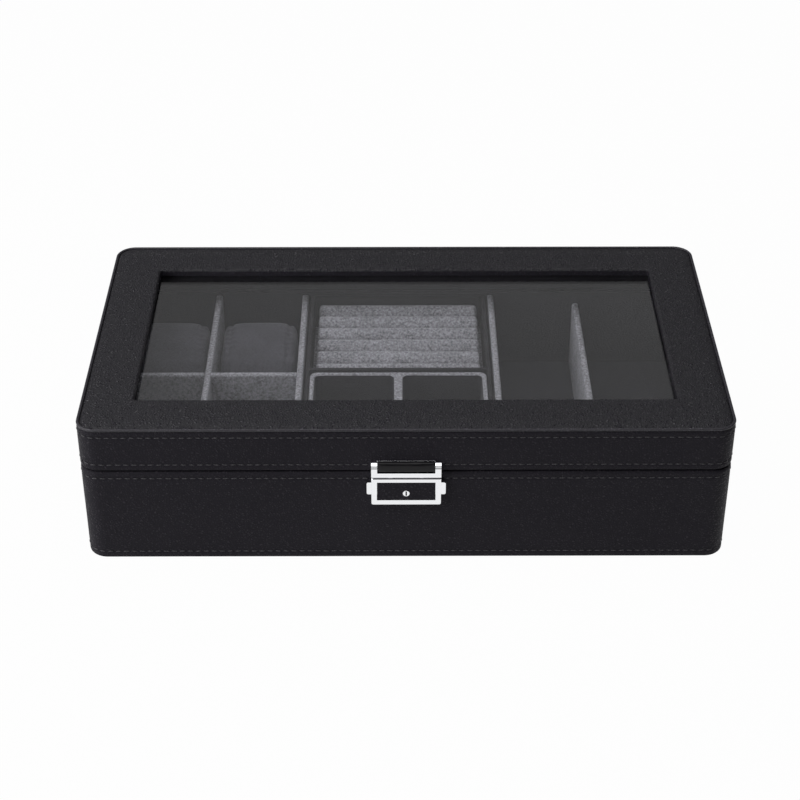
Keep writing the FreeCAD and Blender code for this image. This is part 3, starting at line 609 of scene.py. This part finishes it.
lip = pad["lip"]
padRise = pad["high"] - pad["seat"] - pad["edge"]
padProfile = []
for step in range(pad["steps"] + 1):
    share = step / pad["steps"]
    crowned = pad["seat"] + pad["edge"] + padRise * (1 - (1 - share) ** pad["crownUp"])
    padProfile.append((pad["outer"] + pad["crown"] * share ** pad["crownOut"], crowned))
flat = pad["window"] - pad["outer"] - pad["crown"] - lip
for step in range(1, pad["steps"]):
    padProfile.append((pad["outer"] + pad["crown"] + flat * step / pad["steps"], pad["high"]))
padProfile += bend(pad["window"] - lip, pad["high"] - lip, lip, 90, 180, steps=6)
padProfile += [(pad["window"], pad["low"]), (pad["window"] - skin, pad["low"])]
padFoot = pad["seat"] - pad["tuck"]
padProfile += [(pad["window"] - skin, padFoot), (pad["outer"], padFoot)]
lidPad = sweptCover("lidPad", padProfile, leastRadius=pad["leastCorner"], material=paddedLeather,
                    relief=padRelief)
# where it turns down to the glass the skin takes the duller side leatherette, painted shade that keeps
# the window's reveal dark
secondFinish(lidPad, leatherette, lambda middle: middle.z < padFoot * mm)
fit(lidPad, "lid", "leather", "lid_top_leather")

pipeLow, pipeHigh = nodeBox("lid_piping")
piping = {"radius": (pipeHigh.z - pipeLow.z) / 2, "height": (pipeHigh.z + pipeLow.z) / 2, "sides": 12}
pipeProfile = bend(piping["radius"], piping["height"], piping["radius"], 0, 360, piping["sides"])
lidPiping = sweptCover("lidPiping", pipeProfile[:-1], material=pipingHighlightLeather)
fit(lidPiping, "lid", "leather", "lid_piping")
print("leather covers swept,", stitchCount, "stitches to a row")


# stitches along the seams

def newGeometryTree(name, inputs):
    tree = bpy.data.node_groups.new(name, "GeometryNodeTree")
    for label, kind in inputs.items():
        tree.interface.new_socket(label, in_out="INPUT", socket_type="NodeSocket" + kind)
    tree.interface.new_socket("Geometry", in_out="OUTPUT", socket_type="NodeSocketGeometry")
    return tree, addNode(tree, "NodeGroupInput").outputs


def useTree(piece, tree, values):
    modifier = piece.modifiers.new(tree.name, "NODES")
    modifier.node_group = tree
    for item in tree.interface.items_tree:
        if item.in_out == "INPUT" and item.name in values:
            modifier[item.identifier] = values[item.name]


def makeStitchTree():
    tree, given = newGeometryTree("stitchRows", {
        "Geometry": "Geometry", "Count": "Int", "Length": "Float", "Thickness": "Float", "Width": "Float",
        "Wander": "Float", "Clear": "Float", "Clear Low": "Float", "Clear High": "Float", "Seed": "Int",
        "Material": "Material"})
    row = addNode(tree, "GeometryNodeResampleCurve", {"mode": "COUNT"},
                  {"Curve": given["Geometry"], "Count": given["Count"]})
    tangent = addNode(tree, "GeometryNodeInputTangent")
    along = addNode(tree, "FunctionNodeAlignRotationToVector", {"axis": "X"}, {"Vector": tangent})
    least = addNode(tree, "ShaderNodeMath", {"operation": "MULTIPLY"}, {0: given["Wander"], 1: -1.0})
    swing = addNode(tree, "FunctionNodeRandomValue", {"data_type": "FLOAT"},
                    {2: least, 3: given["Wander"], "Seed": given["Seed"]})
    tilt = addNode(tree, "ShaderNodeCombineXYZ", None, {"Y": swing.outputs[1]})
    turn = addNode(tree, "FunctionNodeEulerToRotation", None, {0: tilt})
    turned = addNode(tree, "FunctionNodeRotateRotation", {"rotation_space": "LOCAL"},
                     {0: along, 1: turn})
    size = addNode(tree, "ShaderNodeCombineXYZ", None,
                   {"X": given["Length"], "Y": given["Thickness"], "Z": given["Width"]})
    bead = addNode(tree, "GeometryNodeMeshUVSphere", None, {"Segments": 8, "Rings": 6, "Radius": 0.5})
    stitch = addNode(tree, "GeometryNodeTransform", None, {"Geometry": bead, "Scale": size})
    spot = addNode(tree, "ShaderNodeSeparateXYZ", None, {0: addNode(tree, "GeometryNodeInputPosition")})
    aside = addNode(tree, "ShaderNodeMath", {"operation": "ABSOLUTE"}, {0: spot.outputs["X"]})
    # sewn beside, behind, above and below the clasp
    free = []
    for measured, operation, limit in (
        (aside, "GREATER_THAN", given["Clear"]),
        (spot.outputs["Y"], "GREATER_THAN", 0.0),
        (spot.outputs["Z"], "GREATER_THAN", given["Clear High"]),
        (spot.outputs["Z"], "LESS_THAN", given["Clear Low"]),
    ):
        free.append(addNode(tree, "FunctionNodeCompare", {"data_type": "FLOAT", "operation": operation},
                            {0: measured, 1: limit}))
    sewnHere = free[0]
    for other in free[1:]:
        sewnHere = addNode(tree, "FunctionNodeBooleanMath", {"operation": "OR"}, {0: sewnHere, 1: other})
    sewn = addNode(tree, "GeometryNodeInstanceOnPoints", None,
                   {"Points": row, "Selection": sewnHere, "Instance": stitch, "Rotation": turned})
    solid = addNode(tree, "GeometryNodeRealizeInstances", None, {0: sewn})
    dressed = addNode(tree, "GeometryNodeSetMaterial", None,
                      {"Geometry": solid, "Material": given["Material"]})
    addNode(tree, "NodeGroupOutput", None, {0: dressed})
    return tree


stitching = {
    "length": 3.0,
    "thickness": 0.6,
    "width": 0.6,
    "wander": 0.09,         # radians, how far a stitch may lie askew
    "sink": 0.12,
    "clear": 19.5,          # no stitches this far to either side of the clasp's middle
    "clearLow": nodeBox("lock_frame")[0].z,
    "clearHigh": nodeBox("hasp_frame")[1].z,
}
stitchTree = makeStitchTree()


def stitchRows(name, heights, seed):
    path = bpy.data.curves.new(name, "CURVE")
    path.dimensions = "3D"
    for height in heights:
        spline = path.splines.new("POLY")
        spline.points.add(len(coverPlaces) - 1)
        spline.use_cyclic_u = True
        for point, place in zip(spline.points, coverPlaces):
            x, y = outlinePoint(place, stitching["sink"])
            point.co = (x * mm, y * mm, height * mm, 1.0)
    rows = placeObject(name, path)
    useTree(rows, stitchTree, {
        "Count": stitchCount, "Length": stitching["length"] * mm,
        "Thickness": stitching["thickness"] * mm, "Width": stitching["width"] * mm,
        "Wander": stitching["wander"], "Clear": stitching["clear"] * mm,
        "Clear Low": stitching["clearLow"] * mm, "Clear High": stitching["clearHigh"] * mm,
        "Seed": seed, "Material": thread})
    made = bakeModifiers(rows)
    made.data.shade_smooth()
    return made


baseStitches = fit(stitchRows("baseStitches", baseCover["seams"], seed=11), "base", "leather")
lidStitches = fit(stitchRows("lidStitches", lidCover["seams"], seed=23), "lid", "leather")
print("stitches sewn:", len(baseStitches.data.polygons) + len(lidStitches.data.polygons), "faces")


# padded pieces, swollen by cloth simulation

def swell(piece, look):
    # even cells, then a short inflation in which no point moves further than most
    frames = 20
    most = look["most"] * mm
    remesh = piece.modifiers.new("evenCells", "REMESH")
    remesh.mode = "VOXEL"
    remesh.voxel_size = look["voxel"] * mm
    bakeModifiers(piece)
    rest = [vertex.co.copy() for vertex in piece.data.vertices]
    cloth = piece.modifiers.new("pressure", "CLOTH")
    cloth.settings.use_pressure = True
    cloth.settings.uniform_pressure_force = look["pressure"]
    cloth.settings.effector_weights.gravity = 0.0
    cloth.point_cache.frame_end = frames
    scene = bpy.context.scene
    for number in range(1, frames + 1):
        scene.frame_set(number)
    view = bpy.context.evaluated_depsgraph_get()
    shaped = piece.evaluated_get(view)
    moved = [vertex.co.copy() for vertex in shaped.data.vertices]
    piece.modifiers.clear()
    scene.frame_set(1)
    for vertex, start, end in zip(piece.data.vertices, rest, moved):
        push = end - start
        if push.length > most:
            push.length = most
        vertex.co = start + push


def smoothOnce(piece):
    finer = piece.modifiers.new("finer", "SUBSURF")
    finer.levels = 1
    finer.render_levels = 1
    bakeModifiers(piece)
    piece.data.shade_smooth()


def keepInside(piece, low, high):
    for vertex in piece.data.vertices:
        vertex.co = [min(max(c, a * mm), b * mm) for c, a, b in zip(vertex.co, low, high)]


pillow = {
    "start": 0.965,         # size before it swells
    "weld": 0.01,
    "voxel": 2.4,
    "pressure": 4.0,
    "most": 1.6,
    "seamIn": 5.0,          # the end panels are sewn in this far from each end
    "seamDepth": 0.9,
    "seamWidth": 1.1,
    "gathers": 26,
    "gatherDepth": 0.45,
    "gatherWidth": 3.5,
    "crush": 0.5,
    "crushLength": 14.0,
    "crushShift": (9.1, 3.7),       # makes each pillow's crush its own
}
pillowNames = [
    "watch_pillow_" + row + "_" + side for row in ("front", "rear") for side in ("left", "right")
]


def pillowForm():
    low, high = nodeBox(pillowNames[0])
    centre = (low + high) / 2
    bm = bmesh.new()
    bm.from_mesh(nodes[pillowNames[0]].data)
    bmesh.ops.remove_doubles(bm, verts=bm.verts, dist=pillow["weld"] * mm)
    for vertex in bm.verts:
        vertex.co = (vertex.co - centre * mm) * pillow["start"]
    form = meshPiece("pillowForm", bm, pillowVelvet)
    swell(form, pillow)
    smoothOnce(form)
    keepInside(form, low - centre, high - centre)
    return form


def pillowRelief(piece, centre, seed):
    # end seams with their gathers, and a lightly crushed face
    low, high = nodeBox(pillowNames[0])
    half = (high.x - low.x) / 2
    shiftX, shiftY = pillow["crushShift"]
    shift = Vector((seed * shiftX, seed * shiftY, 0.0))
    for vertex, normal in zip(piece.data.vertices, [v.normal.copy() for v in piece.data.vertices]):
        spot = vertex.co / mm
        fromSeam = half - pillow["seamIn"] - abs(spot.x)
        seam = math.exp(-(fromSeam / pillow["seamWidth"]) ** 2)
        turn = math.atan2(spot.z, spot.y)
        fold = 0.5 + 0.5 * math.cos(pillow["gathers"] * turn + seed)
        near = math.exp(-(fromSeam / pillow["gatherWidth"]) ** 2)
        crushed = noise.noise(spot / pillow["crushLength"] + shift)
        press = pillow["seamDepth"] * seam + pillow["gatherDepth"] * near * fold
        press += pillow["crush"] * (0.5 + 0.5 * crushed)
        vertex.co -= normal * press * mm
        vertex.co += centre * mm


form = pillowForm()
for seed, name in enumerate(pillowNames, start=1):
    low, high = nodeBox(name)
    piece = placeObject("pillow" + name.replace("watch_pillow", "").replace("_", "-"), form.data.copy())
    pillowRelief(piece, (low + high) / 2, seed)
    keepInside(piece, low, high)
    fit(piece, name, "pillow", name)
bpy.data.objects.remove(form)
print("pillows swollen")


# ring rolls: one roll is made and swollen, then laid in a row

rollLow, rollHigh = nodeBox("ring_rolls")
roll = {
    "count": 6,
    "gap": 1.0,
    "ends": ((0.0, 0.86), (0.4, 0.95), (1.6, 1.0)),     # from an end, and share of the section there
    "arcStep": 15,          # degrees
    "start": 0.95,          # size before it swells
    "voxel": 1.5,
    "pressure": 4.0,
    "most": 0.3,
    "uneven": 0.45,
    "unevenLength": 13.0,
}
rollPitch = (rollHigh.y - rollLow.y + roll["gap"]) / roll["count"]


def rollForm():
    half = (rollPitch - roll["gap"]) / 2
    height = rollHigh.z - rollLow.z
    section = [(-half, 0.0), (half, 0.0), (half, height - half)]
    for degrees in range(roll["arcStep"], 180, roll["arcStep"]):
        turn = math.radians(degrees)
        section.append((half * math.cos(turn), height - half + half * math.sin(turn)))
    section.append((-half, height - half))
    length = rollHigh.x - rollLow.x
    stations = list(roll["ends"])
    stations += [(length - along, size) for along, size in reversed(roll["ends"])]
    bm = bmesh.new()
    rings = []
    for along, size in stations:
        ring = []
        for y, z in section:
            spot = (along - length / 2, y * size, height / 2 + (z - height / 2) * size)
            ring.append(bm.verts.new(Vector(spot) * mm * roll["start"]))
        rings.append(ring)
    bridgeRings(bm, rings)
    made = meshPiece("ringRolls", bm, liningVelvet)
    swell(made, roll)
    smoothOnce(made)
    return made


def makeRollTree():
    tree, given = newGeometryTree("rollRow", {
        "Geometry": "Geometry", "Count": "Int", "First": "Vector", "Step": "Vector", "Uneven": "Float",
        "Detail Size": "Float", "Material": "Material"})
    places = addNode(tree, "GeometryNodeMeshLine", {"mode": "OFFSET"},
                     {"Count": given["Count"], "Start Location": given["First"], "Offset": given["Step"]})
    laid = addNode(tree, "GeometryNodeInstanceOnPoints", None,
                   {"Points": places, "Instance": given["Geometry"]})
    solid = addNode(tree, "GeometryNodeRealizeInstances", None, {0: laid})
    waves = addNode(tree, "ShaderNodeTexNoise", None, {"Scale": given["Detail Size"], "Detail": 2.0})
    depth = addNode(tree, "ShaderNodeMath", {"operation": "MULTIPLY"}, {0: waves, 1: given["Uneven"]})
    inward = addNode(tree, "ShaderNodeMath", {"operation": "MULTIPLY"}, {0: depth, 1: -1.0})
    facing = addNode(tree, "GeometryNodeInputNormal")
    push = addNode(tree, "ShaderNodeVectorMath", {"operation": "SCALE"}, {0: facing, "Scale": inward})
    soft = addNode(tree, "GeometryNodeSetPosition", None, {"Geometry": solid, "Offset": push})
    dressed = addNode(tree, "GeometryNodeSetMaterial", None,
                      {"Geometry": soft, "Material": given["Material"]})
    addNode(tree, "NodeGroupOutput", None, {0: dressed})
    return tree


ringRolls = rollForm()
rollMiddle = (rollLow.x + rollHigh.x) / 2
firstRoll = rollLow.y + (rollPitch - roll["gap"]) / 2
useTree(ringRolls, makeRollTree(), {
    "Count": roll["count"],
    "First": (rollMiddle * mm, firstRoll * mm, rollLow.z * mm),
    "Step": (0.0, rollPitch * mm, 0.0),
    "Uneven": roll["uneven"] * mm,
    "Detail Size": perMetre(roll["unevenLength"]),
    "Material": liningVelvet})
bakeModifiers(ringRolls)
keepInside(ringRolls, rollLow, rollHigh)
ringRolls.data.shade_smooth()
fit(ringRolls, "tray", "velvet", "ring_rolls")
print("ring rolls laid:", roll["count"])


# clasp metal, with its edges broken as a polished casting has them

edgeBreak = {
    "weld": 0.001,
    "flat": math.radians(2),        # facets that meet flatter than this become one face
    "sharp": math.radians(25),      # edges that meet sharper than this are broken
    "smooth": 35,                   # degrees
    "segments": 2,
}


def brokenEdges(node, name, width, material):
    bm = bmesh.new()
    bm.from_mesh(nodes[node].data)
    bmesh.ops.remove_doubles(bm, verts=bm.verts, dist=edgeBreak["weld"] * mm)
    bmesh.ops.dissolve_limit(bm, angle_limit=edgeBreak["flat"], verts=bm.verts, edges=bm.edges)
    piece = meshPiece(name, bm, material, edgeBreak["smooth"])
    edge = piece.modifiers.new("edge", "BEVEL")
    edge.width = width * mm
    edge.segments = edgeBreak["segments"]
    edge.limit_method = "ANGLE"
    edge.angle_limit = edgeBreak["sharp"]
    edge.harden_normals = True
    return bakeModifiers(piece)


claspEdge = 0.1
for node, name, body in (
    ("lock_frame", "lockFrame", "base"),
    ("release_button_left", "releaseButtonLeft", "release_button_left"),
    ("release_button_right", "releaseButtonRight", "release_button_right"),
):
    fit(brokenEdges(node, name, claspEdge, chrome), body, "chrome", node)

# the bow springs of the release buttons, each with a mesh of its own
bowSpring = {"edge": 0.03, "travel": 1.6}
for side, name in (("left", "bowSpringLeft"), ("right", "bowSpringRight")):
    node = "button_spring_" + side
    spring = brokenEdges(node, name, bowSpring["edge"], nickel)
    fit(spring, "base", "steel", node)
    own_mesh(spring)

# painted shade: the faces inside the key slit and the two grooves across each leg of the hasp take a
# near-black metal, standing in for the shade in these recesses
plugFront = nodeBox("lock_plug")[0].y
keyPlug = brokenEdges("lock_plug", "keyPlug", claspEdge, chrome)
secondFinish(keyPlug, recessShadeMetal, lambda middle: (middle / mm).y > plugFront + claspEdge)
fit(keyPlug, "lock_plug", "chrome", "lock_plug")

groove = {"least": 0.02, "most": 0.6, "side": 0.12}     # depth behind the front face, clear of the sides
haspFront = nodeBox("hasp_frame")[0].y
legInside = nodeBox("hasp_inlay")[1].x + groove["side"]
legOutside = nodeBox("hasp_frame")[1].x - groove["side"]
legMiddle = nodeBox("hasp_inlay")[0].z


def inGroove(middle):
    spot = middle / mm
    onLeg = legInside < abs(spot.x) < legOutside and spot.z > legMiddle
    return onLeg and groove["least"] < spot.y - haspFront < groove["most"]


haspFrame = brokenEdges("hasp_frame", "haspFrame", claspEdge, chrome)
secondFinish(haspFrame, recessShadeMetal, inGroove)
fit(haspFrame, "lid", "chrome", "hasp_frame")

# painted shade: the trinket insert takes the pale lining velvet along its rim and the dark copy in its
# pockets, standing in for the shade inside them
trinket = {"edge": 0.5, "rim": 0.9}
rimLow = nodeBox("trinket_insert")[1].z - trinket["rim"]
trinketInsert = brokenEdges("trinket_insert", "trinketInsert", trinket["edge"], shadeVelvet)
secondFinish(trinketInsert, liningVelvet, lambda middle: middle.z > rimLow * mm)
fit(trinketInsert, "tray", "velvet", "trinket_insert")

haspLow, haspHigh = nodeBox("hasp_inlay")
haspPad = {
    "columns": 40,
    "rows": 12,
    "edgeShare": 0.42,      # of the depth, left at top and bottom
    "edgePower": 3.2,       # how close to them the pad stays full
    "endShare": 0.55,       # of the fullness, left at both ends
    "endPower": 14,
    "thinnest": 0.3,
    "crease": 0.22,
    "creaseLength": 4.5,
    "creaseUp": 1.7,        # creases are this much closer upwards
    "creaseSlice": 3.0,     # the plane of the noise that is used
    "smooth": 50,           # degrees
}


def makeHaspPad():
    # a tight leather pad, rolled over at top and bottom and lightly creased
    width = haspHigh.x - haspLow.x
    height = haspHigh.z - haspLow.z
    depth = haspHigh.y - haspLow.y
    edgeShare, endShare = haspPad["edgeShare"], haspPad["endShare"]
    bm = bmesh.new()
    rings = []
    for column in range(haspPad["columns"] + 1):
        across = column / haspPad["columns"]
        x = haspLow.x + width * across
        end = 1 - abs(2 * across - 1) ** haspPad["endPower"]
        ring = []
        for row in range(haspPad["rows"] + 1):
            up = row / haspPad["rows"]
            full = math.sqrt(1 - abs(2 * up - 1) ** haspPad["edgePower"])
            full *= endShare + (1 - endShare) * end
            z = haspLow.z + height * up
            spot = Vector((x, haspPad["creaseSlice"], z * haspPad["creaseUp"]))
            crease = noise.noise(spot / haspPad["creaseLength"])
            out = depth * (edgeShare + (1 - edgeShare) * full)
            out -= haspPad["crease"] * (0.5 + 0.5 * crease)
            ring.append(bm.verts.new(Vector((x, haspHigh.y - max(out, haspPad["thinnest"]), z)) * mm))
        ring.append(bm.verts.new(Vector((x, haspHigh.y, haspHigh.z)) * mm))
        ring.append(bm.verts.new(Vector((x, haspHigh.y, haspLow.z)) * mm))
        rings.append(ring)
    bridgeRings(bm, rings)
    return meshPiece("haspPad", bm, glazedLeather, haspPad["smooth"])


haspLeather = fit(makeHaspPad(), "lid", "leather", "hasp_inlay")
print("clasp finished")


# stage, lamps and camera

def makeFloorFinish():
    # matt white studio board; it shows near white to the lens, to glass and to metal; grain in mm
    look = {"board": "#bcbcbc", "fibre": "#b4b4b4", "grain": 25.0, "white": "#ffffff", "glow": 0.98}
    material, tree, place = newMaterial("studioBoardMattWhite")
    grain = addNode(tree, "ShaderNodeTexNoise", None,
                    {"Vector": place, "Scale": perMetre(look["grain"]), "Detail": 3.0})
    colour = addNode(tree, "ShaderNodeMix", {"data_type": "RGBA"},
                     {0: grain, 6: linearColour(look["fibre"]), 7: linearColour(look["board"])})
    board = addNode(tree, "ShaderNodeBsdfDiffuse", None, {"Color": colour.outputs[2]})
    white = addNode(tree, "ShaderNodeEmission", None,
                    {"Color": linearColour(look["white"]), "Strength": 1.0})
    path = addNode(tree, "ShaderNodeLightPath")
    seen = path.outputs["Is Camera Ray"]
    for ray in ("Is Glossy Ray", "Is Transmission Ray"):
        seen = addNode(tree, "ShaderNodeMath", {"operation": "MAXIMUM"}, {0: seen, 1: path.outputs[ray]})
    share = addNode(tree, "ShaderNodeMath", {"operation": "MULTIPLY"}, {0: seen, 1: look["glow"]})
    both = addNode(tree, "ShaderNodeMixShader", None, {0: share, 1: board, 2: white})
    addNode(tree, "ShaderNodeOutputMaterial", None, {"Surface": both})
    return material


def makeFloor():
    reach = 20.0            # m
    below = -0.0002         # m, just under the felt
    corners = ((-reach, -reach), (reach, -reach), (reach, reach), (-reach, reach))
    bm = bmesh.new()
    bm.faces.new([bm.verts.new((x, y, below)) for x, y in corners])
    return meshPiece("studioFloor", bm, makeFloorFinish())


makeFloor()

# places and sizes in metres, tilt and turn in degrees
lamps = {
    "overhead": {
        "place": (-0.55, -0.3, 1.3), "size": (2.2, 1.1), "tilt": 0.0, "turn": 0.0, "watts": 16.5},
    "rearCard": {
        "place": (0.0, 1.05, 0.8), "size": (2.2, 1.2), "tilt": -53.0, "turn": 0.0, "watts": 2.3},
    "leftCard": {
        "place": (-1.0, -0.5, 0.5), "size": (0.6, 0.6), "tilt": 30.0, "turn": -60.0, "watts": 7.0},
}
for name, lamp in lamps.items():
    light = bpy.data.lights.new(name, "AREA")
    light.shape = "RECTANGLE"
    light.size, light.size_y = lamp["size"]
    light.energy = lamp["watts"]
    holder = placeObject(name, light)
    holder.location = lamp["place"]
    holder.rotation_euler = (math.radians(lamp["tilt"]), math.radians(lamp["turn"]), 0.0)

surround = {"colour": "#2e2d31", "strength": 1.0}
world = bpy.data.worlds.new("studio")
world.use_nodes = True
background = world.node_tree.nodes["Background"].inputs
background["Color"].default_value = linearColour(surround["colour"])
background["Strength"].default_value = surround["strength"]
bpy.context.scene.world = world

photoCamera = {
    "place": (-5.80, -860.93, 615.68),      # mm
    "pitch": 33.92,                         # degrees below level
    "yaw": 0.196,
    "focal": 1855.7,                        # pixels, in an image 800 pixels wide
    "imageWidth": 800,
    "sensor": 36.0,                         # mm
    "clip": (0.05, 100.0),                  # m
}
lens = bpy.data.cameras.new("photoCamera")
lens.sensor_width = photoCamera["sensor"]
lens.lens = photoCamera["focal"] * photoCamera["sensor"] / photoCamera["imageWidth"]
lens.clip_start, lens.clip_end = photoCamera["clip"]
camera = placeObject("photoCamera", lens)
camera.location = Vector(photoCamera["place"]) * mm
camera.rotation_euler = (math.radians(90 - photoCamera["pitch"]), 0.0, -math.radians(photoCamera["yaw"]))
bpy.context.scene.camera = camera
bpy.context.scene.view_settings.view_transform = "Standard"
print("stage set")
